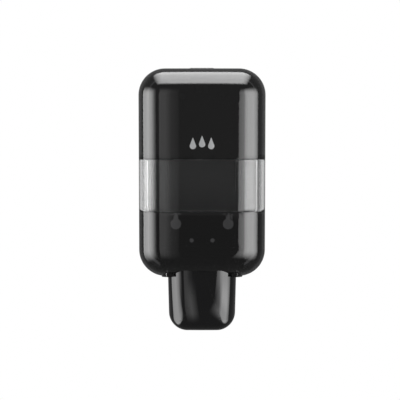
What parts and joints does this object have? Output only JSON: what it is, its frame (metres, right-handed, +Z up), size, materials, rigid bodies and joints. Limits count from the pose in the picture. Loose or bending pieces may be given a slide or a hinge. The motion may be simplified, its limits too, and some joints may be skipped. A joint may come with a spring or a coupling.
{
  "type": "wall mounted soap dispenser",
  "caption": "Wall mounted soap dispenser with a smoked hinged cover, a clear level window, a push lever below and a lock button on top; empty of its refill.",
  "frame": {"origin": "on the wall face of the back plate, on the centre line, half way up the cover", "axes": "+Z up, +Y into the wall, +X to the right as seen from the room"},
  "size_m": [0.1122, 0.1144, 0.2295],
  "materials": {
    "smoked_cover": "gloss, smoked translucent",
    "clear_window": "gloss, clear",
    "chassis": "satin moulded",
    "bracket": "fine matt moulded",
    "lever_gloss": "high gloss black",
    "drive_plastic": "satin moulded",
    "bearing_plastic": "natural acetal",
    "soft_liner": "soft matt",
    "steel": "bright",
    "spring_steel": "drawn wire",
    "grey_button": "satin",
    "barrel_metal": "satin plated",
    "emblem_grey": "printed satin"
  },
  "bodies": {
    "wall_unit": {"back_plate": "chassis", "pump_bracket": "bracket", "bracket_screws": "steel", "guide_rods": "steel", "return_spring_right": "spring_steel", "return_spring_left": "spring_steel", "lever_pivot_pin": "steel", "pivot_bushes": "bearing_plastic", "pivot_clips": "steel", "cover_hinge_pins": "steel", "lock_housing": "chassis", "lock_screws": "steel", "latch_spring": "spring_steel"},
    "cover": {"cover_upper": "smoked_cover", "cover_window": "clear_window", "cover_lower": "smoked_cover", "catch_plate": "steel", "front_emblem": "emblem_grey"},
    "lever": {"lever_front": "lever_gloss", "lever_frame": "drive_plastic", "lever_screws": "steel", "drive_pins": "steel"},
    "lifter": {"pump_lifter": "drive_plastic", "lifter_bushes": "bearing_plastic", "fork_liner": "soft_liner"},
    "latch": {"latch_slider": "drive_plastic", "lock_button": "grey_button"},
    "key": {"key_barrel": "barrel_metal"}
  },
  "joints": [
    {"name": "cover_hinge", "type": "hinge", "parent": "wall_unit", "child": "cover", "pos_m": [0, -0.008, -0.0865], "axis": [1, 0, 0], "range_deg": [0, 95]},
    {"name": "lever_pivot", "type": "hinge", "parent": "wall_unit", "child": "lever", "pos_m": [0, -0.092, -0.076], "axis": [1, 0, 0], "range_deg": [0, 14], "stiffness_Nm_per_rad": 2, "springref_deg": -5.73},
    {"name": "lifter_slide", "type": "slide", "parent": "wall_unit", "child": "lifter", "axis": [0, 0, 1], "range_m": [0, 0.0087], "deforming": ["return_spring_right", "return_spring_left"]},
    {"name": "latch_slide", "type": "slide", "parent": "wall_unit", "child": "latch", "axis": [0, 0, -1], "range_m": [0, 0.0035], "stiffness_N_per_m": 800, "springref_m": -0.002, "deforming": ["latch_spring"]},
    {"name": "key_turn", "type": "hinge", "parent": "latch", "child": "key", "pos_m": [0, -0.016, 0.084], "axis": [0, 0, 1], "range_deg": [0, 90]}
  ],
  "couplings": [
    {"joint": "lifter_slide", "follows": "lever_pivot", "m_per_rad": 0.035}
  ]
}
